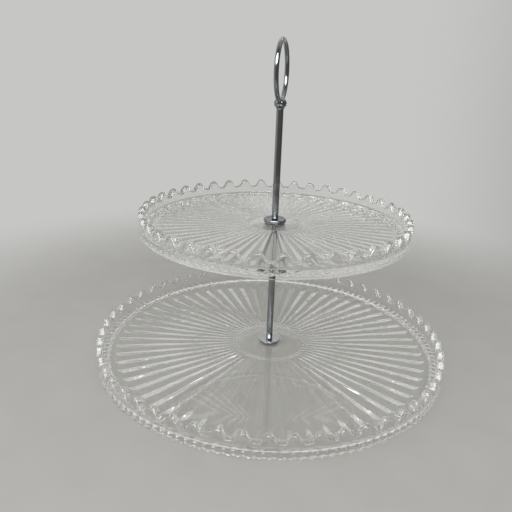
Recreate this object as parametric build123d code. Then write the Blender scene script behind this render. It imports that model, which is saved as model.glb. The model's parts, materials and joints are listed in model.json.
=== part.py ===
"""Two tier cake stand: two pressed glass plates clamped on a chromed steel column with a ring handle."""

from build123d import *
import os
from math import asin, cos, pi, sin, sqrt, tan

# Driving dimensions, in millimetres and degrees.
# Glass shared by both plates
wall_thickness = 6.2          # side wall, measured across the rim
wall_flare = 0.4              # how far the wall leans out between its bottom and its crests
wall_rise = 20.0              # crests above the bottom of the wall
floor_rise = 6.4              # top of the floor above the bottom of the wall
floor_thickness = 4.0         # plain glass at the middle of the floor
hole_diameter = 10.0          # drilled through the middle
floor_corner_radius = 2.5     # inside, where floor and wall meet
foot_width = 7.1              # ring of glass under the edge of the floor
foot_corner_radius = 1.0      # inside, where the foot meets the underside
scallop_depth = 6.7           # crest to trough of the wavy rim
crest_land = 0.05             # tiny flat left on each crest
ray_count = 60                # sunburst under the floor
ray_height = 1.0              # how far the rays stand down from the floor
ray_groove_depth = 1.3        # V groove between two rays, at its outer end
ray_groove_share = 0.92       # groove width as a share of the ray pitch
ray_groove_run_over = 0.8     # past both ends of the rays
ridge_radius = 0.6            # two fine ridges round the plain middle
ridge_inset = 1.6             # outer ridge, inside the start of the rays
ridge_spacing = 2.7           # from ridge to ridge

# Lower plate
lower_radius = 161.5
lower_scallops = 55
lower_scallop_phase = 3.1
lower_ray_start = 37.0
lower_ray_margin = 8.9        # plain glass between the rays and the foot
foot_bead_count = 135
foot_bead_radius = 3.0
foot_bead_flat = 0.6          # pressed flat where the plate stands
lower_foot_inset = 3.1        # foot ring, set back from the wall behind the beads

# Upper plate
upper_radius = 120.0
upper_scallops = 41
upper_scallop_phase = 1.9
upper_ray_start = 27.0
upper_ray_margin = 8.5
upper_foot_rounding = 2.2
floor_bead_count = 96
floor_bead_radius = 1.8
floor_bead_inset = 3.2        # bead centres, inside the foot

# Column: rods, washers and seals, all on one M4 thread
rod_diameter = 6.0
lower_rod_length = 110.0
upper_rod_length = 95.0
rod_edge = 0.4                # chamfer at the rod ends
thread_diameter = 3.9
tapped_diameter = 4.0
tapped_depth = 12.0
thread_reach = 9.0            # length of thread held in a rod end
washer_diameter = 20.0
washer_thickness = 1.2
washer_edge = 0.3
bottom_washer_diameter = 16.0
bottom_washer_thickness = 0.8
flange_thickness = 3.5
flange_edge = 1.2
clearance_hole = 4.3          # metal discs over the thread
seal_diameter = 18.0
seal_thickness = 0.8
seal_collar_depth = 1.7       # shoulder that centres the glass on the thread
seal_collar_clearance = 0.2   # radial, in the glass hole
seal_bore_clearance = 0.1     # radial, round the thread
screw_head_across_flats = 7.0
screw_head_height = 2.4
screw_head_slope = 1.7        # how far its corners fall away for each millimetre down

# Handle
handle_angle = 80.0           # heading of the ring's plane, from the X axis
ring_wire_diameter = 4.0
ring_outer_diameter = 52.0
ring_seat_height = 2.7        # from the knob's foot up to the ring's lowest point
braze_gap = 0.05              # round the ring, in the knob
collar_height = 1.2
collar_bottom_diameter = 6.8
collar_top_diameter = 7.8
knob_diameter = 10.8
knob_height = 7.9
knob_foot_diameter = 7.6
knob_shoulder_height = 1.5
knob_groove_height = 2.3
knob_groove_radius = 0.5

# Radii and heights that follow from the sizes above
lower_foot_inside = lower_radius - wall_flare - lower_foot_inset - foot_width
lower_ray_end = lower_foot_inside - lower_ray_margin
upper_foot_inside = upper_radius - wall_flare - foot_width
upper_ray_end = upper_foot_inside - upper_ray_margin
lower_wall_base = foot_bead_radius - foot_bead_flat
lower_floor = lower_wall_base + floor_rise
lower_underside = lower_floor - floor_thickness
bottom_seal_base = lower_underside - seal_thickness
bottom_washer_base = bottom_seal_base - bottom_washer_thickness
screw_head_base = bottom_washer_base - screw_head_height
lower_washer_base = lower_floor + seal_thickness
lower_rod_base = lower_washer_base + washer_thickness
lower_rod_top = lower_rod_base + lower_rod_length
upper_underside = lower_rod_top + washer_thickness + seal_thickness
upper_floor = upper_underside + floor_thickness
upper_wall_base = upper_floor - floor_rise
flange_base = upper_floor + seal_thickness
upper_rod_base = flange_base + flange_thickness
upper_rod_top = upper_rod_base + upper_rod_length
knob_base = upper_rod_top + collar_height
ring_radius = (ring_outer_diameter - ring_wire_diameter) / 2
ring_centre = knob_base + ring_seat_height + ring_outer_diameter / 2


def around(shape, count, phase=0.0):
    """Copies of a shape, evenly spaced about the Z axis."""
    step = 360 / count
    return [Rot(0, 0, phase + step * i) * shape for i in range(count)]


def nearest_corner(face, x, z):
    """The corner of a profile face that lies closest to one radius and height."""
    return min(face.vertices(), key=lambda v: (v.X - x) ** 2 + (v.Z - z) ** 2)


def peg(diameter, base, top):
    """A plain round bar between two heights."""
    bar = Cylinder(diameter / 2, top - base, align=(Align.CENTER, Align.CENTER, Align.MIN))
    return Pos(0, 0, base) * bar


def disc(diameter, height, base, edge):
    """A round washer over the thread, with its outer edges rounded."""
    body = peg(diameter, base, base + height)
    body = fillet(body.edges().filter_by(GeomType.CIRCLE), edge)
    return body - peg(clearance_hole, base - height, base + 2 * height)


def plate_blank(radius, wall_base, ray_start, ray_end, foot_inset):
    """Half section of a plate: floor, ray disc, foot ring and wall up to the crests."""
    crest = wall_base + wall_rise
    floor = wall_base + floor_rise
    underside = floor - floor_thickness
    rays = underside - ray_height
    wall_foot = radius - wall_flare
    foot_outside = wall_foot - foot_inset
    foot_inside = foot_outside - foot_width
    floor_outside = wall_foot + wall_flare * floor_rise / wall_rise - wall_thickness
    hole = hole_diameter / 2
    set_back = [(foot_outside, underside), (wall_foot, underside)] if foot_inset > 0 else []
    outline = [
        (hole, floor),
        (hole, underside),
        (ray_start, underside),
        (ray_start, rays),
        (ray_end, rays),
        (ray_end, underside),
        (foot_inside, underside),
        (foot_inside, wall_base),
        (foot_outside, wall_base),
        *set_back,
        (radius, crest - crest_land),
        (radius - wall_thickness, crest - crest_land),
        (floor_outside, floor),
    ]
    face = Plane.XZ * make_face(Polyline(*outline, close=True))
    face = fillet(nearest_corner(face, floor_outside, floor), floor_corner_radius)
    return fillet(nearest_corner(face, foot_inside, underside), foot_corner_radius)


def scallop_cutter(radius, wall_base, count):
    """One dip of the wavy rim, crest to crest, drawn with tangent arcs and pushed out through the wall."""
    crest = wall_base + wall_rise
    middle = radius - wall_thickness / 2
    half_pitch = middle * tan(pi / count)
    bend = (half_pitch ** 2 + scallop_depth ** 2) / (4 * scallop_depth)
    lean = asin(half_pitch / (2 * bend))
    land = sqrt(bend ** 2 - (bend - crest_land) ** 2)
    start = (half_pitch - land, crest - crest_land)
    bow = (half_pitch - bend * sin(lean / 2), crest - bend + bend * cos(lean / 2))
    turn = (half_pitch / 2, crest - scallop_depth / 2)
    dip = (0, crest - scallop_depth)
    lid = crest + scallop_depth
    half = [ThreePointArc(start, bow, turn), Polyline((0, lid), (start[0], lid), start)]
    valley = ThreePointArc(turn, dip, (-turn[0], turn[1]))
    outline = make_face([valley, *half, *[mirror(line, Plane.YZ) for line in half]])
    rim_plane = Plane(origin=(middle, 0, 0), x_dir=(0, 1, 0), z_dir=(1, 0, 0))
    return extrude(rim_plane * outline, amount=wall_thickness, both=True)


def ray_cutter(wall_base, ray_start, ray_end):
    """One V groove of the sunburst: a flat sided wedge that points at the axis and deepens outwards."""
    rays = wall_base + floor_rise - floor_thickness - ray_height
    half_width = ray_groove_share * pi / ray_count
    rise = ray_groove_depth / ray_end

    def corners(at):
        return [
            (at, -2 * half_width * at, rays - rise * at),
            (at, 2 * half_width * at, rays - rise * at),
            (at, 0, rays + rise * at),
        ]

    near = corners(ray_start - ray_groove_run_over)
    far = corners(ray_end + ray_groove_run_over)
    sides = [(near[i], near[i - 1], far[i - 1], far[i]) for i in range(3)]
    faces = [make_face(Polyline(*loop, close=True)) for loop in (near, far, *sides)]
    return Solid(Shell([face.face() for face in faces]))


def pressed_plate(blank, radius, wall_base, scallops, phase, ray_start, ray_end, beads):
    """Turns a blank, presses its rays, cuts its wavy rim and adds the ridges and beads that stand out."""
    underside = wall_base + floor_rise - floor_thickness
    outer_ridge = ray_start - ridge_inset
    for row in range(2):
        blank += Plane.XZ * Pos(outer_ridge - row * ridge_spacing, underside) * Circle(ridge_radius)
    body = revolve(blank, Axis.Z)
    body = body.cut(*around(ray_cutter(wall_base, ray_start, ray_end), ray_count))
    body = body.cut(*around(scallop_cutter(radius, wall_base, scallops), scallops, phase + 180 / scallops))
    return body.fuse(*beads)


def make_lower_plate():
    blank = plate_blank(lower_radius, lower_wall_base, lower_ray_start, lower_ray_end, lower_foot_inset)
    foot_radius = lower_radius - foot_bead_radius
    below = Pos(0, 0, -foot_bead_radius) * Box(
        2 * foot_bead_radius, 2 * foot_bead_radius, 2 * foot_bead_radius
    )
    foot_bead = Pos(foot_radius, 0, 0) * (Pos(0, 0, lower_wall_base) * Sphere(foot_bead_radius) - below)
    return pressed_plate(
        blank,
        lower_radius,
        lower_wall_base,
        lower_scallops,
        lower_scallop_phase,
        lower_ray_start,
        lower_ray_end,
        around(foot_bead, foot_bead_count),
    )


def make_upper_plate():
    blank = plate_blank(upper_radius, upper_wall_base, upper_ray_start, upper_ray_end, 0.0)
    foot_outside = upper_radius - wall_flare
    blank = fillet(nearest_corner(blank, foot_outside, upper_wall_base), upper_foot_rounding)
    bead_radius = upper_foot_inside - floor_bead_inset
    floor_bead = Pos(bead_radius, 0, upper_underside) * Sphere(floor_bead_radius)
    return pressed_plate(
        blank,
        upper_radius,
        upper_wall_base,
        upper_scallops,
        upper_scallop_phase,
        upper_ray_start,
        upper_ray_end,
        around(floor_bead, floor_bead_count),
    )


def make_seal(glass_face, direction):
    """A shouldered seal on one face of the glass; direction is 1 above the glass and -1 below it."""
    bore = thread_diameter + 2 * seal_bore_clearance
    collar = hole_diameter - 2 * seal_collar_clearance
    height = seal_thickness + seal_collar_depth
    seal = peg(seal_diameter, 0, seal_thickness) + peg(collar, -seal_collar_depth, seal_thickness)
    seal -= peg(bore, -height, height)
    if direction < 0:
        seal = Rot(180, 0, 0) * seal
    return Pos(0, 0, glass_face) * seal


def make_rod(base, top):
    """A rod with a tapped hole in each end."""
    rod = peg(rod_diameter, base, top)
    rod = chamfer(rod.edges().filter_by(GeomType.CIRCLE), rod_edge)
    rod -= peg(tapped_diameter, base, base + tapped_depth)
    return rod - peg(tapped_diameter, top - tapped_depth, top)


def make_bottom_screw():
    """A hexagon screw that comes up through the lower plate into the lower rod."""
    flats = screw_head_across_flats / 2
    head = extrude(RegularPolygon(flats, 6, major_radius=False), screw_head_height)
    crown = Cone(
        flats,
        flats + screw_head_slope * screw_head_height,
        screw_head_height,
        align=(Align.CENTER, Align.CENTER, Align.MIN),
    )
    head = Pos(0, 0, screw_head_base) * (head & crown)
    return head + peg(thread_diameter, bottom_washer_base, lower_rod_base + thread_reach)


def ring_shape(wire_diameter):
    """The handle's ring, or the tunnel for it, standing in its heading."""
    ring = Rot(0, 0, handle_angle) * Rot(90, 0, 0) * Torus(ring_radius, wire_diameter / 2)
    return Pos(0, 0, ring_centre) * ring


def make_handle_collar():
    """A turned ring that the knob is tightened down on."""
    body = Cone(
        collar_bottom_diameter / 2,
        collar_top_diameter / 2,
        collar_height,
        align=(Align.CENTER, Align.CENTER, Align.MIN),
    )
    return Pos(0, 0, upper_rod_top) * (body - peg(clearance_hole, 0, collar_height))


def make_handle_knob():
    """A turned knob with a groove round it and a threaded spigot, drilled through for the ring."""
    radius = knob_diameter / 2
    foot = knob_foot_diameter / 2
    groove_base = knob_groove_height - knob_groove_radius
    groove_top = knob_groove_height + knob_groove_radius
    groove_deep = (radius - knob_groove_radius, knob_groove_height)
    side = Polyline((0, knob_height), (0, 0), (foot, 0), (radius, knob_shoulder_height), (radius, groove_base))
    groove = ThreePointArc((radius, groove_base), groove_deep, (radius, groove_top))
    dome_height = knob_height - groove_top
    dome = EllipticalCenterArc((0, groove_top), radius, dome_height, start_angle=0, arc_size=90)
    body = Pos(0, 0, knob_base) * revolve(Plane.XZ * make_face([side, groove, dome]), Axis.Z)
    body -= ring_shape(ring_wire_diameter + 2 * braze_gap)
    return body + peg(thread_diameter, upper_rod_top - thread_reach, knob_base)


parts = {
    "lower_plate": make_lower_plate(),
    "lower_plate_top_seal": make_seal(lower_floor, 1),
    "lower_plate_bottom_seal": make_seal(lower_underside, -1),
    "bottom_screw": make_bottom_screw(),
    "bottom_washer": disc(bottom_washer_diameter, bottom_washer_thickness, bottom_washer_base, washer_edge),
    "lower_washer": disc(washer_diameter, washer_thickness, lower_washer_base, washer_edge),
    "lower_rod": make_rod(lower_rod_base, lower_rod_top),
    "support_washer": disc(washer_diameter, washer_thickness, lower_rod_top, washer_edge),
    "upper_plate": make_upper_plate(),
    "upper_plate_bottom_seal": make_seal(upper_underside, -1),
    "upper_plate_top_seal": make_seal(upper_floor, 1),
    "upper_flange": disc(washer_diameter, flange_thickness, flange_base, flange_edge),
    "joining_stud": peg(thread_diameter, lower_rod_top - thread_reach, upper_rod_base + thread_reach),
    "upper_rod": make_rod(upper_rod_base, upper_rod_top),
    "handle_collar": make_handle_collar(),
    "handle_knob": make_handle_knob(),
    "handle_ring": ring_shape(ring_wire_diameter),
}

os.makedirs("parts", exist_ok=True)
for name, shape in parts.items():
    export_step(shape, os.path.join("parts", name + ".step"))
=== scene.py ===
import json
import math
import bmesh
import bpy
from mathutils import Matrix, Vector


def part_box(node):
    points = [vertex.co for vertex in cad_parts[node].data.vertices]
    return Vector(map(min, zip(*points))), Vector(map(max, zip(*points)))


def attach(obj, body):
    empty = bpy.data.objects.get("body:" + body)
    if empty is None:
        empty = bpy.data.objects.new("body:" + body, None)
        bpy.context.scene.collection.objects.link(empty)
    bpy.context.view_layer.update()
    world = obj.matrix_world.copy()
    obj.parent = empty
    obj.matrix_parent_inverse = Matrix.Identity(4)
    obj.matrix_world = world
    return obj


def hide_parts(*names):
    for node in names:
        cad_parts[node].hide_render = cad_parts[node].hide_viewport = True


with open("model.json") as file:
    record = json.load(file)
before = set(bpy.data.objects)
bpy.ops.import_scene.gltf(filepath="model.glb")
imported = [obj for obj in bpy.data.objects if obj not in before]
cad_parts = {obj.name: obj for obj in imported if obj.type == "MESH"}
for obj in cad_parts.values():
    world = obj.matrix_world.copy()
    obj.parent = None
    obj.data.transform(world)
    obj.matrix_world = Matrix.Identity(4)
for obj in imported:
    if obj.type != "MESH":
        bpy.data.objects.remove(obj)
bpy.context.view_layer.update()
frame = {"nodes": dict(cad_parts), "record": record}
mm = 0.001
print("frame loaded:", len(frame["nodes"]), "nodes")


def hexColour(code):
    # sRGB hex to the linear values that the shaders take
    parts = [int(code[i:i + 2], 16) / 255 for i in (1, 3, 5)]
    return [p / 12.92 if p <= 0.04045 else ((p + 0.055) / 1.055) ** 2.4 for p in parts] + [1.0]


def addNode(tree, kind, inputs=(), **settings):
    # inputs by position or by name; a node stands for its first output
    node = tree.nodes.new(kind)
    for name, value in settings.items():
        setattr(node, name, value)
    for key, value in (inputs.items() if isinstance(inputs, dict) else enumerate(inputs)):
        if isinstance(value, bpy.types.Node):
            value = value.outputs[0]
        if isinstance(value, bpy.types.NodeSocket):
            tree.links.new(value, node.inputs[key])
        elif value is not None:
            node.inputs[key].default_value = value
    return node


def newMaterial(name):
    material = bpy.data.materials.new(name)
    material.use_nodes = True
    tree = material.node_tree
    return material, tree, tree.nodes["Principled BSDF"]


# Materials

def makePressedGlass():
    # Soda-lime glass pressed in an iron mould and fire polished: clear, a touch grey at the edges,
    # with the faint orange peel that the mould leaves and a few dry wipe marks
    material, tree, shader = newMaterial("pressedSodaLimeGlass")
    peelSize = 14 * mm
    wipeSize = 45 * mm
    where = addNode(tree, "ShaderNodeTexCoord").outputs["Object"]
    peel = addNode(tree, "ShaderNodeTexNoise", {"Vector": where, "Scale": 1 / peelSize, "Detail": 2.0})
    wipes = addNode(tree, "ShaderNodeTexNoise", {"Vector": where, "Scale": 1 / wipeSize, "Detail": 4.0})
    haze = addNode(tree, "ShaderNodeMapRange", {"Value": wipes, 1: 0.5, 2: 0.85, 3: 0.0, 4: 0.03})
    skin = addNode(tree, "ShaderNodeBump", {"Strength": 0.15, "Distance": 0.03 * mm, "Height": peel})
    tree.links.new(haze.outputs[0], shader.inputs["Roughness"])
    tree.links.new(skin.outputs[0], shader.inputs["Normal"])
    shader.inputs["Base Color"].default_value = hexColour("#FBFBFA")
    shader.inputs["Transmission Weight"].default_value = 1.0
    shader.inputs["IOR"].default_value = 1.52
    # lamps shine straight through on to what lies under the glass
    rays = addNode(tree, "ShaderNodeLightPath").outputs
    soft = addNode(tree, "ShaderNodeMath", [rays["Is Shadow Ray"], rays["Is Diffuse Ray"]],
                   operation="MAXIMUM")
    clear = addNode(tree, "ShaderNodeBsdfTransparent", [hexColour("#F3F3F2")])
    both = addNode(tree, "ShaderNodeMixShader", [soft, shader, clear])
    tree.links.new(both.outputs[0], tree.nodes["Material Output"].inputs["Surface"])
    return material


def makeChromePlate(name, dull, bright):
    # Bright nickel and chrome on drawn steel: a dark mirror with fine draw lines and duller handled patches
    material, tree, shader = newMaterial(name)
    patches = 9 * mm
    hairs = 0.5 * mm  # finer on the real bar, drawn this wide so that they show
    where = addNode(tree, "ShaderNodeTexCoord").outputs["Object"]
    grain = addNode(tree, "ShaderNodeTexNoise", {"Vector": where, "Scale": 1 / patches, "Detail": 3.0})
    squash = addNode(tree, "ShaderNodeMapping", {"Vector": where, "Scale": (1.0, 1.0, 0.06)})
    lines = addNode(tree, "ShaderNodeTexNoise", {"Vector": squash, "Scale": 1 / hairs, "Detail": 2.0})
    shine = addNode(tree, "ShaderNodeMapRange", {"Value": grain, 1: 0.35, 2: 0.75, 3: 0.09, 4: 0.17})
    scratch = addNode(tree, "ShaderNodeBump", {"Strength": 0.03, "Distance": 0.01 * mm, "Height": lines})
    tone = addNode(tree, "ShaderNodeMix", {0: grain, 6: hexColour(dull), 7: hexColour(bright)},
                   data_type="RGBA")
    tree.links.new(tone.outputs[2], shader.inputs["Base Color"])
    tree.links.new(shine.outputs[0], shader.inputs["Roughness"])
    tree.links.new(scratch.outputs[0], shader.inputs["Normal"])
    shader.inputs["Metallic"].default_value = 1.0
    return material


def makeZincSteel():
    # Turned steel with a thin bright zinc coat: grey, half dull, mottled
    material, tree, shader = newMaterial("zincPlatedSteel")
    mottle = 1.6 * mm
    where = addNode(tree, "ShaderNodeTexCoord").outputs["Object"]
    patches = addNode(tree, "ShaderNodeTexNoise", {"Vector": where, "Scale": 1 / mottle, "Detail": 4.0})
    tone = addNode(tree, "ShaderNodeMix", {0: patches, 6: hexColour("#8E9196"), 7: hexColour("#B4B7BA")},
                   data_type="RGBA")
    shine = addNode(tree, "ShaderNodeMapRange", {"Value": patches, 1: 0.3, 2: 0.7, 3: 0.22, 4: 0.4})
    tree.links.new(tone.outputs[2], shader.inputs["Base Color"])
    tree.links.new(shine.outputs[0], shader.inputs["Roughness"])
    shader.inputs["Metallic"].default_value = 1.0
    return material


def makeSiliconeSeal():
    # Moulded clear silicone rubber: see-through with a soft, cloudy sheen and fine dust
    material, tree, shader = newMaterial("mouldedSilicone")
    dust = 0.6 * mm
    where = addNode(tree, "ShaderNodeTexCoord").outputs["Object"]
    bits = addNode(tree, "ShaderNodeTexNoise", {"Vector": where, "Scale": 1 / dust, "Detail": 3.0})
    tone = addNode(tree, "ShaderNodeMix", {0: bits, 6: hexColour("#B4B5B5"), 7: hexColour("#CACBCB")},
                   data_type="RGBA")
    shine = addNode(tree, "ShaderNodeMapRange", {"Value": bits, 1: 0.3, 2: 0.7, 3: 0.08, 4: 0.2})
    tree.links.new(tone.outputs[2], shader.inputs["Base Color"])
    tree.links.new(shine.outputs[0], shader.inputs["Roughness"])
    shader.inputs["Transmission Weight"].default_value = 0.85
    shader.inputs["IOR"].default_value = 1.41
    return material


glass = makePressedGlass()
chrome = makeChromePlate("chromePlatedBar", "#85888C", "#9B9EA1")
# a lighter copy of the same chrome plate, a painted sheen that makes the washers' tops look brightly lit
chromeWithPaintedSheen = makeChromePlate("chromePlatedDiscPaintedSheen", "#BEC1C4", "#D0D2D4")
zinc = makeZincSteel()
silicone = makeSiliconeSeal()
print("materials made")


# Sections: a piece's half outline as radius and height in millimetres. A corner is (radius, height, rounding,
# steps in the rounding, runs in the straight stretch after it)

def roundCorners(corners):
    corners = [tuple(c) + (0, 1, 1)[len(c) - 2:] for c in corners]
    points = []
    for i, (r, z, rounding, steps, runs) in enumerate(corners):
        here = Vector((r, z))
        back = (Vector(corners[i - 1][:2]) - here).normalized()
        ahead = (Vector(corners[(i + 1) % len(corners)][:2]) - here).normalized()
        if rounding:
            half = back.angle(ahead) / 2
            centre = here + (back + ahead).normalized() * rounding / math.sin(half)
            first = here + back * rounding / math.tan(half) - centre
            sweep = math.pi - 2 * half
            turn = math.copysign(sweep, back.x * ahead.y - back.y * ahead.x)
            points += [(centre + Matrix.Rotation(-turn * k / steps, 2) @ first, 1) for k in range(steps)]
            points.append((here + ahead * rounding / math.tan(half), runs))
        else:
            points.append((here, runs))
    outline = []
    for i, (here, runs) in enumerate(points):
        ahead = points[(i + 1) % len(points)][0]
        outline += [here.lerp(ahead, k / runs) for k in range(runs)]
    return [(p.x, p.y) for p in outline]


# Geometry Nodes shared by every turned piece: the section's points are carried round the axis

def startTree(name, sizes):
    tree = bpy.data.node_groups.new(name, "GeometryNodeTree")
    tree.interface.new_socket("section", in_out="INPUT", socket_type="NodeSocketGeometry")
    for label, value in sizes.items():
        kind = "NodeSocketInt" if isinstance(value, int) else "NodeSocketFloat"
        tree.interface.new_socket(label, in_out="INPUT", socket_type=kind)
    tree.interface.new_socket("finish", in_out="INPUT", socket_type="NodeSocketMaterial")
    tree.interface.new_socket("piece", in_out="OUTPUT", socket_type="NodeSocketGeometry")
    return tree, addNode(tree, "NodeGroupInput").outputs


def spinSection(tree, size):
    count = addNode(tree, "GeometryNodeAttributeDomainSize", [size["section"]], component="MESH")
    around = addNode(tree, "ShaderNodeMath", [size["segments"], 1.0], operation="ADD")
    grid = addNode(tree, "GeometryNodeMeshGrid", {"Vertices X": around, "Vertices Y": count})
    index = addNode(tree, "GeometryNodeInputIndex")
    row = addNode(tree, "ShaderNodeMath", [index, count], operation="DIVIDE")
    row = addNode(tree, "ShaderNodeMath", [row], operation="FLOOR")
    before = addNode(tree, "ShaderNodeMath", [row, count], operation="MULTIPLY")
    column = addNode(tree, "ShaderNodeMath", [index, before], operation="SUBTRACT")
    place = addNode(tree, "GeometryNodeInputPosition")
    point = addNode(tree, "GeometryNodeSampleIndex",
                    {"Geometry": size["section"], "Value": place, "Index": column}, data_type="FLOAT_VECTOR")
    turn = addNode(tree, "ShaderNodeMath", [row, size["segments"]], operation="DIVIDE")
    parts = addNode(tree, "ShaderNodeSeparateXYZ", [point]).outputs
    return grid, parts["X"], parts["Z"], turn


def carryRound(tree, grid, radius, height, turn):
    angle = addNode(tree, "ShaderNodeMath", [turn, math.tau], operation="MULTIPLY")
    cosine = addNode(tree, "ShaderNodeMath", [angle], operation="COSINE")
    sine = addNode(tree, "ShaderNodeMath", [angle], operation="SINE")
    x = addNode(tree, "ShaderNodeMath", [radius, cosine], operation="MULTIPLY")
    y = addNode(tree, "ShaderNodeMath", [radius, sine], operation="MULTIPLY")
    place = addNode(tree, "ShaderNodeCombineXYZ", [x, y, height])
    moved = addNode(tree, "GeometryNodeSetPosition", {"Geometry": grid, "Position": place})
    closed = addNode(tree, "GeometryNodeMergeByDistance", {"Geometry": moved, "Distance": 0.001 * mm})
    faces = addNode(tree, "GeometryNodeInputMeshEdgeNeighbors")
    loose = addNode(tree, "FunctionNodeCompare", {"A": faces, "B": 0}, data_type="INT", operation="EQUAL")
    clean = addNode(tree, "GeometryNodeDeleteGeometry", [closed, loose], domain="EDGE")
    return addNode(tree, "GeometryNodeFlipFaces", [clean])


def finishTree(tree, size, shape, sharpAbove):
    smooth = addNode(tree, "GeometryNodeSetShadeSmooth", {"Geometry": shape})
    bend = addNode(tree, "GeometryNodeInputMeshEdgeAngle")
    sharp = addNode(tree, "ShaderNodeMath", [bend, math.radians(sharpAbove)], operation="GREATER_THAN")
    creased = addNode(tree, "GeometryNodeSetShadeSmooth", [smooth, sharp, False], domain="EDGE")
    real = addNode(tree, "GeometryNodeRealizeInstances", [creased])
    painted = addNode(tree, "GeometryNodeSetMaterial", {"Geometry": real, "Material": size["finish"]})
    addNode(tree, "NodeGroupOutput", [painted])


def makePiece(name, outline, tree, sizes, material):
    section = bpy.data.meshes.new(name + "Section")
    section.from_pydata([(r * mm, 0, z * mm) for r, z in [*outline, outline[0]]], [], [])
    piece = bpy.data.objects.new(name, section)
    bpy.context.scene.collection.objects.link(piece)
    modifier = piece.modifiers.new("shape", "NODES")
    modifier.node_group = tree
    for item in tree.interface.items_tree:
        if item.in_out == "INPUT" and item.name in sizes:
            modifier[item.identifier] = sizes[item.name]
        if item.in_out == "INPUT" and item.name == "finish":
            modifier[item.identifier] = material
    graph = bpy.context.evaluated_depsgraph_get()
    plain = bpy.data.meshes.new_from_object(piece.evaluated_get(graph))
    plain.materials.clear()
    plain.materials.append(material)
    piece.modifiers.clear()
    piece.data = plain
    bpy.data.meshes.remove(section)
    plain.name = name
    return piece


def seat(piece, node):
    # the piece stands for its CAD node and moves with the same body
    body = next(b for b, nodes in frame["record"]["behaviour"]["bodies"].items() if node in nodes)
    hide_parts(node)
    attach(piece, body)


# Pressed plates

plateShape = dict(
    wall=6.2, flare=0.4, wallRise=20.0, floorRise=6.4, floorThickness=4.0, hole=5.0, floorCorner=1.4,
    footWidth=7.1, footCorner=1.0, beadInset=0.1, rayBirth=0.7, rayCount=60, rayFade=10.0, rayTip=4.0,
    rayStep=0.05, rimRound=2.8, smallRound=0.35, ridgeInset=1.6, ridgeSpacing=2.7, rowMargin=1.2,
    floorBeadInset=3.2, waveDepth=6.7, waveFullness=0.12, waveNarrow=0.1, waveFoot=1.4,
)

lowerShape = dict(
    radius=161.5, base=2.4, rayStart=37.0, rayMargin=4.4, waveCount=55, wavePhase=3.1, segments=1080,
    rayDepth=1.6, footBead=2.6, footCount=135, footInset=3.1, footLevel=2.5, footGap=1.55, footRound=0.0,
    rowBead=1.1, rowCount=72, floorBead=0.0, floorCount=0,
)

upperShape = dict(
    radius=120.0, base=120.4, rayStart=27.0, rayMargin=6.5, waveCount=41, wavePhase=1.9, segments=960,
    rayDepth=0.8, footBead=0.0, footCount=0, footInset=0.0, footLevel=120.4, footGap=0.0, footRound=2.2,
    rowBead=0.9, rowCount=0, floorBead=1.8, floorCount=96,
)


def plateLevels(plate):
    s = plateShape
    levels = dict(floor=plate["base"] + s["floorRise"], crest=plate["base"] + s["wallRise"])
    levels["under"] = levels["floor"] - s["floorThickness"]
    levels["footOut"] = plate["radius"] - s["flare"]
    levels["footIn"] = levels["footOut"] - plate["footInset"] - s["footWidth"]
    levels["rayEnd"] = levels["footIn"] - plate["rayMargin"]
    levels["floorOut"] = levels["footOut"] + s["flare"] * s["floorRise"] / s["wallRise"] - s["wall"]
    levels["beadOut"] = plate["radius"] - plate["footBead"] - s["beadInset"]
    levels["beadIn"] = levels["footIn"] + plate["footBead"] - s["beadInset"]
    levels["outerRow"] = plate["rayStart"] - s["ridgeInset"]
    levels["innerRow"] = levels["outerRow"] - s["ridgeSpacing"]
    levels["floorRow"] = levels["footIn"] - s["floorBeadInset"]
    return levels


def plateOutline(plate):
    s, at = plateShape, plateLevels(plate)
    base, radius, small = plate["base"], plate["radius"], s["smallRound"]
    under, rayEnd, rayStart = at["under"], at["rayEnd"], plate["rayStart"]
    outerRow, innerRow, floorRow = at["outerRow"], at["innerRow"], at["floorRow"]
    rowEdge = s["rowMargin"] * plate["rowBead"]
    foot = [(at["footOut"], base, plate["footRound"], 5), (at["footIn"], base, small, 2),
            (at["footIn"], under, s["footCorner"], 2)]
    if plate["footBead"]:
        # a row of long beads that point at the axis, in place of a plain ring: the outer end is rounded in
        # steps of 20 degrees, the inner end in steps of 28
        level, bead = plate["footLevel"], plate["footBead"]
        ends = [(at["beadOut"], math.radians(30 - 20 * k)) for k in range(7)]
        ends += [(at["beadIn"], math.radians(-90 - 28 * k)) for k in range(6)]
        foot = [(at["footOut"], under),
                *[(centre + bead * math.cos(a), level + bead * math.sin(a)) for centre, a in ends],
                (at["beadIn"] - bead, under)]
    beads = []
    if plate["floorBead"]:
        beads = [(floorRow + plate["floorBead"], under, 0, 1, 9), (floorRow - plate["floorBead"], under)]
    return roundCorners([
        (s["hole"], under, small, 2),
        (s["hole"], at["floor"], small, 2, 5),
        (at["floorOut"], at["floor"], s["floorCorner"], 4, 5),
        (radius - s["wall"], at["crest"], s["rimRound"], 7),
        (radius, at["crest"], s["rimRound"], 7, 6),
        *foot,
        *beads,
        (rayEnd, under, 0, 1, 3),
        (rayEnd - s["rayTip"], under, 0, 1, 6),
        (rayStart + s["rayFade"], under, 0, 1, 4),
        (rayStart + s["rayStep"], under),
        (rayStart - s["rayStep"], under),
        (outerRow + rowEdge, under, 0, 1, 5),
        (outerRow - rowEdge, under),
        (innerRow + rowEdge, under, 0, 1, 5),
        (innerRow - rowEdge, under, 0, 1, 2),
    ])


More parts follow.
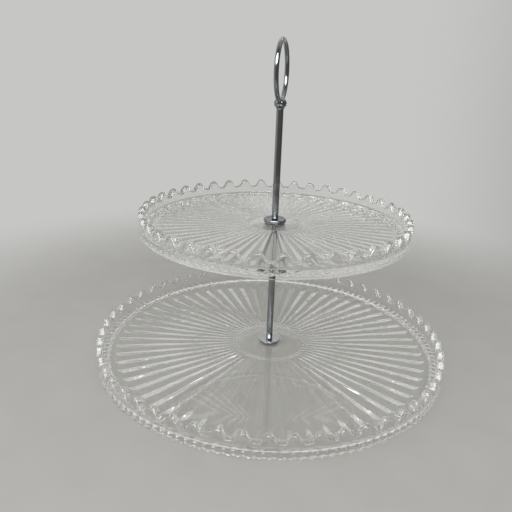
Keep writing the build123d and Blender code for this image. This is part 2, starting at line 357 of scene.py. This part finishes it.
def plateSizes(plate):
    s, at = plateShape, plateLevels(plate)
    return dict(
        segments=plate["segments"], waveCount=plate["waveCount"], wavePhase=plate["wavePhase"] / 360,
        waveDepth=s["waveDepth"] * mm, waveFullness=s["waveFullness"], waveNarrow=s["waveNarrow"],
        waveLow=(at["floor"] + s["waveFoot"]) * mm, waveHigh=at["crest"] * mm,
        rayCount=s["rayCount"], rayDepth=plate["rayDepth"] * mm, rayBirth=s["rayBirth"],
        rayFade=s["rayFade"] * mm, rayTip=s["rayTip"] * mm,
        rayStart=plate["rayStart"] * mm, rayEnd=at["rayEnd"] * mm,
        underside=(at["floor"] - s["floorThickness"] / 2) * mm,
        outerRow=at["outerRow"] * mm, innerRow=at["innerRow"] * mm, floorRow=at["floorRow"] * mm,
        rowCount=plate["rowCount"], rowBead=plate["rowBead"] * mm,
        floorCount=plate["floorCount"], floorBead=plate["floorBead"] * mm,
        beadOut=at["beadOut"] * mm, beadIn=at["beadIn"] * mm, footHeight=plate["footLevel"] * mm,
        footCount=plate["footCount"], footBead=plate["footBead"] * mm, footGap=plate["footGap"] * mm,
        ground=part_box("lower_plate")[0].z,
    )


def makePlateTree():
    tree, size = startTree("pressedPlate", plateSizes(lowerShape))
    grid, radius, height, turn = spinSection(tree, size)
    isUnder = addNode(tree, "ShaderNodeMath", [height, size["underside"]], operation="LESS_THAN")

    # wavy rim: a cosine with a little of its second harmonic, for crests narrower than the dips, and of its
    # third, for full crests and steep flanks
    angle = addNode(tree, "ShaderNodeMath", [turn, size["wavePhase"]], operation="SUBTRACT")
    angle = addNode(tree, "ShaderNodeMath", [angle, size["waveCount"]], operation="MULTIPLY")
    angle = addNode(tree, "ShaderNodeMath", [angle, math.tau], operation="MULTIPLY")
    wave = addNode(tree, "ShaderNodeMath", [angle], operation="COSINE")
    third = addNode(tree, "ShaderNodeMath", [angle, 3.0], operation="MULTIPLY")
    third = addNode(tree, "ShaderNodeMath", [third], operation="COSINE")
    third = addNode(tree, "ShaderNodeMath", [third, size["waveFullness"]], operation="MULTIPLY")
    second = addNode(tree, "ShaderNodeMath", [angle, 2.0], operation="MULTIPLY")
    second = addNode(tree, "ShaderNodeMath", [second], operation="COSINE")
    second = addNode(tree, "ShaderNodeMath", [second, size["waveNarrow"]], operation="MULTIPLY")
    wave = addNode(tree, "ShaderNodeMath", [wave, third], operation="SUBTRACT")
    wave = addNode(tree, "ShaderNodeMath", [wave, second], operation="ADD")
    reach = addNode(tree, "ShaderNodeMath", [1.0, size["waveFullness"]], operation="SUBTRACT")
    top = addNode(tree, "ShaderNodeMath", [size["waveNarrow"], reach], operation="ADD")
    bottom = addNode(tree, "ShaderNodeMath", [size["waveNarrow"], reach], operation="SUBTRACT")
    dip = addNode(tree, "ShaderNodeMapRange", [wave, bottom, top, size["waveDepth"], 0.0])
    share = addNode(tree, "ShaderNodeMapRange", [height, size["waveLow"], size["waveHigh"], 0.0, 1.0])
    dip = addNode(tree, "ShaderNodeMath", [dip, share], operation="MULTIPLY")
    waved = addNode(tree, "ShaderNodeMath", [height, dip], operation="SUBTRACT")

    # sunburst: ridges between shallow flutes, taller as they run out, and pointed at both ends
    across = addNode(tree, "ShaderNodeMath", [turn, size["rayCount"]], operation="MULTIPLY")
    across = addNode(tree, "ShaderNodeMath", [across], operation="FRACT")
    across = addNode(tree, "ShaderNodeMapRange", [across, 0.0, 1.0, -1.0, 1.0])
    across = addNode(tree, "ShaderNodeMath", [across], operation="ABSOLUTE")
    fade = addNode(tree, "ShaderNodeMath", [size["rayEnd"], size["rayTip"]], operation="SUBTRACT")
    outer = addNode(tree, "ShaderNodeMapRange", [radius, size["rayEnd"], fade, 0.0, 1.0])
    grown = addNode(tree, "ShaderNodeMath", [size["rayStart"], size["rayFade"]], operation="ADD")
    inner = addNode(tree, "ShaderNodeMapRange", [radius, size["rayStart"], grown, size["rayBirth"], 1.0])
    began = addNode(tree, "ShaderNodeMath", [radius, size["rayStart"]], operation="GREATER_THAN")
    reach = addNode(tree, "ShaderNodeMath", [outer, inner], operation="MULTIPLY")
    ridge = addNode(tree, "ShaderNodeMath", [reach, across], operation="SUBTRACT")
    ridge = addNode(tree, "ShaderNodeMath", [ridge, 0.0], operation="MAXIMUM")
    depth = addNode(tree, "ShaderNodeMapRange", [radius, 0.0, size["rayEnd"], 0.0, size["rayDepth"]])
    ridge = addNode(tree, "ShaderNodeMath", [ridge, depth], operation="MULTIPLY")
    ridge = addNode(tree, "ShaderNodeMath", [ridge, began], operation="MULTIPLY")
    ridge = addNode(tree, "ShaderNodeMath", [ridge, isUnder], operation="MULTIPLY")
    pressed = addNode(tree, "ShaderNodeMath", [waved, ridge], operation="SUBTRACT")

    # rows of half round beads under the floor; a row with no count is a plain ridge
    for row, count, bead in (("outerRow", "rowCount", "rowBead"), ("innerRow", "rowCount", "rowBead"),
                             ("floorRow", "floorCount", "floorBead")):
        along = addNode(tree, "ShaderNodeMath", [turn, size[count]], operation="MULTIPLY")
        middle = addNode(tree, "ShaderNodeMath", [along], operation="ROUND")
        along = addNode(tree, "ShaderNodeMath", [along, middle], operation="SUBTRACT")
        pitch = addNode(tree, "ShaderNodeMath", [size[row], size[count]], operation="DIVIDE")
        pitch = addNode(tree, "ShaderNodeMath", [pitch, math.tau], operation="MULTIPLY")
        along = addNode(tree, "ShaderNodeMath", [along, pitch], operation="MULTIPLY")
        aside = addNode(tree, "ShaderNodeMath", [radius, size[row]], operation="SUBTRACT")
        away = addNode(tree, "ShaderNodeCombineXYZ", [along, aside])
        away = addNode(tree, "ShaderNodeVectorMath", [away, away], operation="DOT_PRODUCT").outputs["Value"]
        room = addNode(tree, "ShaderNodeMath", [size[bead], size[bead]], operation="MULTIPLY")
        room = addNode(tree, "ShaderNodeMath", [room, away], operation="SUBTRACT")
        room = addNode(tree, "ShaderNodeMath", [room, 0.0], operation="MAXIMUM")
        bump = addNode(tree, "ShaderNodeMath", [room], operation="SQRT")
        bump = addNode(tree, "ShaderNodeMath", [bump, isUnder], operation="MULTIPLY")
        pressed = addNode(tree, "ShaderNodeMath", [pressed, bump], operation="SUBTRACT")

    # beaded foot: the section swells to a long bead and shrinks to a neck between two beads
    along = addNode(tree, "ShaderNodeMath", [turn, size["footCount"]], operation="MULTIPLY")
    middle = addNode(tree, "ShaderNodeMath", [along], operation="ROUND")
    along = addNode(tree, "ShaderNodeMath", [along, middle], operation="SUBTRACT")
    pitch = addNode(tree, "ShaderNodeMath", [size["beadOut"], size["footCount"]], operation="DIVIDE")
    pitch = addNode(tree, "ShaderNodeMath", [pitch, math.tau], operation="MULTIPLY")
    along = addNode(tree, "ShaderNodeMath", [along, pitch], operation="MULTIPLY")
    along = addNode(tree, "ShaderNodeMath", [along, size["footBead"]], operation="DIVIDE")
    along = addNode(tree, "ShaderNodeMath", [along, along], operation="MULTIPLY")
    room = addNode(tree, "ShaderNodeMath", [1.0, along], operation="SUBTRACT")
    room = addNode(tree, "ShaderNodeMath", [room, 0.0], operation="MAXIMUM")
    swell = addNode(tree, "ShaderNodeMath", [room], operation="SQRT")
    neck = addNode(tree, "ShaderNodeMath", [size["footGap"], size["footBead"]], operation="DIVIDE")
    swell = addNode(tree, "ShaderNodeMath", [swell, neck], operation="MAXIMUM")
    along = addNode(tree, "ShaderNodeMath", [radius, size["beadIn"]], operation="MAXIMUM")
    along = addNode(tree, "ShaderNodeMath", [along, size["beadOut"]], operation="MINIMUM")
    centre = addNode(tree, "ShaderNodeCombineXYZ", [along, 0.0, size["footHeight"]])
    point = addNode(tree, "ShaderNodeCombineXYZ", [radius, 0.0, pressed])
    fromCentre = addNode(tree, "ShaderNodeVectorMath", [point, centre], operation="SUBTRACT")
    gone = addNode(tree, "ShaderNodeVectorMath", [fromCentre], operation="LENGTH").outputs["Value"]
    justOutside = 1.001  # so that points on the bead's own round count as the bead
    edge = addNode(tree, "ShaderNodeMath", [size["footBead"], justOutside], operation="MULTIPLY")
    isBead = addNode(tree, "ShaderNodeMath", [gone, edge], operation="LESS_THAN")
    change = addNode(tree, "ShaderNodeMath", [swell, 1.0], operation="SUBTRACT")
    change = addNode(tree, "ShaderNodeMath", [change, isBead], operation="MULTIPLY")
    shift = addNode(tree, "ShaderNodeVectorMath", {0: fromCentre, "Scale": change}, operation="SCALE")
    shifted = addNode(tree, "ShaderNodeVectorMath", [point, shift], operation="ADD")
    ends = addNode(tree, "ShaderNodeSeparateXYZ", [shifted]).outputs
    level = addNode(tree, "ShaderNodeMath", [ends["Z"], size["ground"]], operation="MAXIMUM")

    finishTree(tree, size, carryRound(tree, grid, ends["X"], level, turn), sharpAbove=80)
    return tree


plateTree = makePlateTree()
lowerPlate = makePiece("lowerPlate", plateOutline(lowerShape), plateTree, plateSizes(lowerShape), glass)
seat(lowerPlate, "lower_plate")
upperPlate = makePiece("upperPlate", plateOutline(upperShape), plateTree, plateSizes(upperShape), glass)
seat(upperPlate, "upper_plate")
print("plates made:", len(lowerPlate.data.polygons), "and", len(upperPlate.data.polygons), "faces")


# Turned metal and seals

turnedSizes = dict(segments=72, threadPitch=0.7 * mm, threadDepth=0.38 * mm, threadRadius=0.0, threadLow=0.0,
                   threadHigh=0.0)


def makeTurnedTree():
    tree, size = startTree("turnedPiece", turnedSizes)
    grid, radius, height, turn = spinSection(tree, size)

    # screw thread: a V cut that climbs one pitch in a turn, with a small flat at crest and root
    flat = 0.06
    climb = addNode(tree, "ShaderNodeMath", [height, size["threadPitch"]], operation="DIVIDE")
    climb = addNode(tree, "ShaderNodeMath", [climb, turn], operation="SUBTRACT")
    climb = addNode(tree, "ShaderNodeMath", [climb], operation="FRACT")
    climb = addNode(tree, "ShaderNodeMath", [climb, 0.5], operation="SUBTRACT")
    climb = addNode(tree, "ShaderNodeMath", [climb], operation="ABSOLUTE")
    cut = addNode(tree, "ShaderNodeMapRange", [climb, flat, 0.5 - flat, 0.0, size["threadDepth"]])
    above = addNode(tree, "ShaderNodeMath", [height, size["threadLow"]], operation="GREATER_THAN")
    below = addNode(tree, "ShaderNodeMath", [height, size["threadHigh"]], operation="LESS_THAN")
    onBar = addNode(tree, "ShaderNodeMath", [radius, size["threadRadius"], 0.01 * mm], operation="COMPARE")
    cut = addNode(tree, "ShaderNodeMath", [cut, above], operation="MULTIPLY")
    cut = addNode(tree, "ShaderNodeMath", [cut, below], operation="MULTIPLY")
    cut = addNode(tree, "ShaderNodeMath", [cut, onBar], operation="MULTIPLY")
    radius = addNode(tree, "ShaderNodeMath", [radius, cut], operation="SUBTRACT")

    finishTree(tree, size, carryRound(tree, grid, radius, height, turn), sharpAbove=33)
    return tree


turnedTree = makeTurnedTree()


def turnPiece(name, corners, material, **changes):
    return makePiece(name, roundCorners(corners), turnedTree, {**turnedSizes, **changes}, material)


def levelsOf(node):
    # lowest and highest point and the largest radius of a CAD node, in millimetres
    low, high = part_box(node)
    return low.z / mm, high.z / mm, high.y / mm


rodShape = dict(edge=0.4, tapped=2.0, tappedDepth=12.0)


def makeRod(name, node):
    base, top, radius = levelsOf(node)
    s = rodShape
    rod = turnPiece(name, [
        (0, base + s["tappedDepth"]), (0, top - s["tappedDepth"]),
        (s["tapped"], top - s["tappedDepth"]), (s["tapped"], top),
        (radius, top, s["edge"], 3), (radius, base, s["edge"], 3),
        (s["tapped"], base), (s["tapped"], base + s["tappedDepth"]),
    ], chrome)
    seat(rod, node)


makeRod("lowerRod", "lower_rod")
makeRod("upperRod", "upper_rod")

discShape = dict(bore=2.15, thin=0.3, thick=1.2, dish=0.35, dishInset=1.6, dishEdge=0.2, segments=96)


def makeWasher(name, node, material):
    base, top, radius = levelsOf(node)
    s = discShape
    washer = turnPiece(name, [
        (s["bore"], base), (s["bore"], top), (radius, top, s["thin"], 3), (radius, base, s["thin"], 3),
    ], material, segments=s["segments"])
    seat(washer, node)


def makeFlange(name, node):
    # a pressed cup washer: rounded shoulder and a slightly sunk middle
    base, top, radius = levelsOf(node)
    s = discShape
    edge, sunk = radius - s["thick"] - s["dishInset"], top - s["dish"]
    flange = turnPiece(name, [
        (s["bore"], base), (s["bore"], sunk), (edge - s["dish"], sunk, s["dishEdge"], 2),
        (edge, top, s["dishEdge"], 2), (radius, top, s["thick"], 6), (radius, base, s["thick"], 6),
    ], chrome, segments=s["segments"])
    seat(flange, node)


# the two washers on the rods take the lighter chrome copy, a painted sheen on the same plating as the rods
makeWasher("lowerWasher", "lower_washer", chromeWithPaintedSheen)
makeWasher("supportWasher", "support_washer", chromeWithPaintedSheen)
makeWasher("bottomWasher", "bottom_washer", zinc)
makeFlange("upperFlange", "upper_flange")
print("rods and washers made")

sealShape = dict(bore=2.05, collar=4.8, thickness=0.8, edge=0.15)


def makeSeal(name, node, above):
    base, top, radius = levelsOf(node)
    s = sealShape
    if above:
        shoulder = top - s["thickness"]
        corners = [(s["bore"], base), (s["bore"], top), (radius, top, s["edge"], 2), (radius, shoulder),
                   (s["collar"], shoulder), (s["collar"], base)]
    else:
        shoulder = base + s["thickness"]
        corners = [(s["bore"], base), (s["bore"], top), (s["collar"], top), (s["collar"], shoulder),
                   (radius, shoulder), (radius, base, s["edge"], 2)]
    seat(turnPiece(name, corners, silicone), node)


makeSeal("lowerPlateTopSeal", "lower_plate_top_seal", True)
makeSeal("lowerPlateBottomSeal", "lower_plate_bottom_seal", False)
makeSeal("upperPlateTopSeal", "upper_plate_top_seal", True)
makeSeal("upperPlateBottomSeal", "upper_plate_bottom_seal", False)
print("seals made")

screwShape = dict(
    headHeight=2.4, acrossCorners=8.08, crown=0.32, chamfer=0.6, thread=1.95, tip=0.4, plain=4.0, runs=7,
)


def threadSizes(low, high):
    return dict(threadRadius=screwShape["thread"] * mm, threadLow=low * mm, threadHigh=high * mm)


def threadedBar(base, top):
    # finely divided, so that each turn of the thread has its own flanks
    s = screwShape
    runs = round((top - base) / turnedSizes["threadPitch"] * mm * s["runs"])
    return [(0, base), (0, top), (s["thread"] - s["tip"], top), (s["thread"], top - s["tip"], 0, 1, runs),
            (s["thread"], base + s["tip"]), (s["thread"] - s["tip"], base)]


def makeBottomScrew():
    s = screwShape
    base, top, _ = levelsOf("bottom_screw")
    under = base + s["headHeight"]
    corner = s["acrossCorners"] / 2
    head = turnPiece("bottomScrew", [
        (0, base), (0, under), (corner, under), (corner, base + s["crown"]), (corner - s["chamfer"], base),
    ], zinc, segments=6)
    shank = turnPiece("bottomScrewShank", threadedBar(under - s["tip"], top), zinc,
                      **threadSizes(under + s["plain"], top - s["tip"]))
    both = bmesh.new()
    both.from_mesh(head.data)
    both.from_mesh(shank.data)
    both.to_mesh(head.data)
    both.free()
    bpy.data.objects.remove(shank)
    seat(head, "bottom_screw")


def makeJoiningStud():
    base, top, _ = levelsOf("joining_stud")
    stud = turnPiece("joiningStud", threadedBar(base, top), zinc, **threadSizes(base, top))
    seat(stud, "joining_stud")


makeBottomScrew()
makeJoiningStud()
print("screw and stud made")

collarShape = dict(bore=2.15, bottom=3.4, top=3.9, edge=0.15)


def makeHandleCollar():
    base, top, _ = levelsOf("handle_collar")
    s = collarShape
    collar = turnPiece("handleCollar", [
        (s["bore"], base), (s["bore"], top), (s["top"], top, s["edge"], 2), (s["bottom"], base, s["edge"], 2),
    ], chrome)
    seat(collar, "handle_collar")


knobShape = dict(
    radius=5.4, foot=3.8, height=7.9, shoulder=1.5, shoulderEdge=0.2, edge=0.15, groove=2.3, grooveRadius=0.5,
    plain=0.5, domeSteps=12, grooveSteps=8,
)


def makeHandleKnob():
    s = knobShape
    low, top, _ = levelsOf("handle_knob")
    base = top - s["height"]
    middle, small = base + s["groove"], s["grooveRadius"]
    grooveTop = middle + small
    dome = [math.radians(90 - 90 * k / s["domeSteps"]) for k in range(1, s["domeSteps"])]
    groove = [math.radians(90 + 180 * k / s["grooveSteps"]) for k in range(1, s["grooveSteps"])]
    bar = threadedBar(low, base)
    knob = turnPiece("handleKnob", [
        (0, low), (0, top),
        *[(s["radius"] * math.cos(a), grooveTop + (top - grooveTop) * math.sin(a)) for a in dome],
        (s["radius"], grooveTop, s["edge"], 2),
        *[(s["radius"] + small * math.cos(a), middle + small * math.sin(a)) for a in groove],
        (s["radius"], middle - small, s["edge"], 2),
        (s["radius"], base + s["shoulder"], s["shoulderEdge"], 2),
        (s["foot"], base, s["edge"], 2),
        (screwShape["thread"], base, 0, 1, bar[3][4]), *bar[4:],
    ], chrome, **threadSizes(low, base - s["plain"]))
    seat(knob, "handle_knob")


ringShape = dict(wire=4.0, outer=52.0, heading=80.0, around=160, across=28)


def makeRingTree():
    tree, size = startTree("wireRing", dict(ringRadius=0.0, wireRadius=0.0, heading=0.0, centre=0.0,
                                            around=ringShape["around"], across=ringShape["across"]))
    path = addNode(tree, "GeometryNodeCurvePrimitiveCircle",
                   {"Resolution": size["around"], "Radius": size["ringRadius"]})
    wire = addNode(tree, "GeometryNodeCurvePrimitiveCircle",
                   {"Resolution": size["across"], "Radius": size["wireRadius"]})
    tube = addNode(tree, "GeometryNodeCurveToMesh", {"Curve": path, "Profile Curve": wire})
    turnBy = addNode(tree, "ShaderNodeCombineXYZ", [math.pi / 2, 0.0, size["heading"]])
    raiseBy = addNode(tree, "ShaderNodeCombineXYZ", [0.0, 0.0, size["centre"]])
    placed = addNode(tree, "GeometryNodeTransform",
                     {"Geometry": tube, "Translation": raiseBy, "Rotation": turnBy})
    finishTree(tree, size, placed, sharpAbove=60)
    return tree


def makeHandleRing():
    s = ringShape
    base, top, _ = levelsOf("handle_ring")
    ring = makePiece("handleRing", [(0, 0)], makeRingTree(), dict(
        ringRadius=(s["outer"] - s["wire"]) / 2 * mm, wireRadius=s["wire"] / 2 * mm,
        heading=math.radians(s["heading"]), centre=(base + top) / 2 * mm,
        around=s["around"], across=s["across"],
    ), chrome)
    seat(ring, "handle_ring")


makeHandleCollar()
makeHandleKnob()
makeHandleRing()
print("handle made")


# Stage, light and camera

stageLook = dict(floorRadius=1.2, floorDrop=0.3, fadeFrom=0.24, fadeTo=0.56, mottle=40.0, roughness=0.7)


def makeStage():
    # a matt pale table top with a faint mottle, which dies away into the room
    material, tree, shader = newMaterial("paleTable")
    s = stageLook
    where = addNode(tree, "ShaderNodeTexCoord").outputs["Object"]
    mottle = addNode(tree, "ShaderNodeTexNoise",
                     {"Vector": where, "Scale": 1 / (s["mottle"] * mm), "Detail": 3.0})
    tone = addNode(tree, "ShaderNodeMix", {0: mottle, 6: hexColour("#8C8B88"), 7: hexColour("#949390")},
                   data_type="RGBA")
    away = addNode(tree, "ShaderNodeVectorMath", [where], operation="LENGTH").outputs["Value"]
    gone = addNode(tree, "ShaderNodeMapRange", [away, s["fadeFrom"], s["fadeTo"], 0.0, 1.0],
                   interpolation_type="SMOOTHSTEP")
    clear = addNode(tree, "ShaderNodeBsdfTransparent")
    both = addNode(tree, "ShaderNodeMixShader", [gone, shader, clear])
    tree.links.new(tone.outputs[2], shader.inputs["Base Color"])
    tree.links.new(both.outputs[0], tree.nodes["Material Output"].inputs["Surface"])
    shader.inputs["Roughness"].default_value = s["roughness"]
    disc = bmesh.new()
    bmesh.ops.create_circle(disc, cap_ends=True, segments=128, radius=s["floorRadius"])
    bmesh.ops.translate(disc, verts=disc.verts, vec=(0, 0, -s["floorDrop"] * mm))
    mesh = bpy.data.meshes.new("floor")
    disc.to_mesh(mesh)
    disc.free()
    mesh.materials.append(material)
    floor = bpy.data.objects.new("floor", mesh)
    bpy.context.scene.collection.objects.link(floor)


# windows of the room, in metres and watts
windows = dict(
    leftWindow=dict(shape="RECTANGLE", place=(-1.4, -0.8, 1.25), target=(0, 0, 0.1), width=1.6, height=1.0,
                    power=9.0),
    frontWindow=dict(shape="ELLIPSE", place=(-0.1, -1.35, 1.5), target=(0, 0, 0.2), width=2.4, height=1.3,
                     power=58.0),
    backStrip=dict(shape="RECTANGLE", place=(0.2, 1.4, 1.5), target=(0, 0, 0.1), width=2.0, height=0.3,
                   power=1.8),
)


def addLamp(name, shape, place, target, width, height, power):
    data = bpy.data.lights.new(name, "AREA")
    data.shape = shape
    data.size, data.size_y, data.energy = width, height, power
    lamp = bpy.data.objects.new(name, data)
    bpy.context.scene.collection.objects.link(lamp)
    lamp.location = place
    lamp.rotation_euler = (Vector(target) - Vector(place)).to_track_quat("-Z", "Y").to_euler()
    return lamp


roomTones = dict(
    back="#C6C6C4", right="#6A6966", front="#74736F", frontCeiling="#6E6E6C", backCeiling="#D2D2D0",
)


def makeRoom():
    # soft grey room: pale behind and to the left, duller to the right and in front; overhead it is bright
    # behind the stand and dull in front of it
    world = bpy.data.worlds.new("room")
    bpy.context.scene.world = world
    world.use_nodes = True
    tree = world.node_tree
    tree.nodes.clear()
    where = addNode(tree, "ShaderNodeTexCoord").outputs["Generated"]
    part = addNode(tree, "ShaderNodeSeparateXYZ", [where]).outputs
    blends = dict(
        right=("X", 0.2, 0.8), front=("Y", -0.3, -0.9), top=("Z", 0.25, 0.85), back=("Y", -0.3, 0.3),
    )
    share = {}
    for side, (axis, start, end) in blends.items():
        share[side] = addNode(tree, "ShaderNodeMapRange", [part[axis], start, end, 0.0, 1.0],
                              interpolation_type="SMOOTHSTEP")
    tones = {name: hexColour(code) for name, code in roomTones.items()}
    wall = addNode(tree, "ShaderNodeMix", {0: share["right"], 6: tones["back"], 7: tones["right"]},
                   data_type="RGBA")
    wall = addNode(tree, "ShaderNodeMix", {0: share["front"], 6: wall.outputs[2], 7: tones["front"]},
                   data_type="RGBA")
    ceiling = addNode(tree, "ShaderNodeMix",
                      {0: share["back"], 6: tones["frontCeiling"], 7: tones["backCeiling"]}, data_type="RGBA")
    wall = addNode(tree, "ShaderNodeMix", {0: share["top"], 6: wall.outputs[2], 7: ceiling.outputs[2]},
                   data_type="RGBA")
    glow = addNode(tree, "ShaderNodeBackground", {"Color": wall.outputs[2], "Strength": 1.0})
    addNode(tree, "ShaderNodeOutputWorld", [glow])


# fitted to the photograph: sensor and lens in millimetres, place in metres, yaw, pitch and roll in radians
cameraLook = dict(
    sensor=36.0, lens=38.58, place=(0.00283, -0.47254, 0.26828), turns=(-0.0392, 0.3529, 0.0358),
)


def makeCamera():
    data = bpy.data.cameras.new("camera")
    data.sensor_width = cameraLook["sensor"]
    data.lens = cameraLook["lens"]
    yaw, pitch, roll = cameraLook["turns"]
    ahead = Vector((math.sin(yaw) * math.cos(pitch), math.cos(yaw) * math.cos(pitch), -math.sin(pitch)))
    side = Vector((math.cos(yaw), -math.sin(yaw), 0))
    up = side.cross(ahead)
    across = math.cos(roll) * side + math.sin(roll) * up
    above = -math.sin(roll) * side + math.cos(roll) * up
    turn = Matrix((across, above, -ahead)).transposed().to_4x4()
    camera = bpy.data.objects.new("camera", data)
    bpy.context.scene.collection.objects.link(camera)
    camera.matrix_world = Matrix.Translation(cameraLook["place"]) @ turn
    bpy.context.scene.camera = camera


makeStage()
makeRoom()
lamps = {name: addLamp(name, **look) for name, look in windows.items()}
lamps["frontWindow"].visible_transmission = False  # it shows as a sheen on the glass, not in its depth
makeCamera()
bpy.context.scene.view_settings.view_transform = "Standard"
bounces = 32  # light runs far inside thick pressed glass
for kind in ("max_bounces", "glossy_bounces", "transmission_bounces", "transparent_max_bounces"):
    setattr(bpy.context.scene.cycles, kind, bounces)

print("stage, light and camera made")
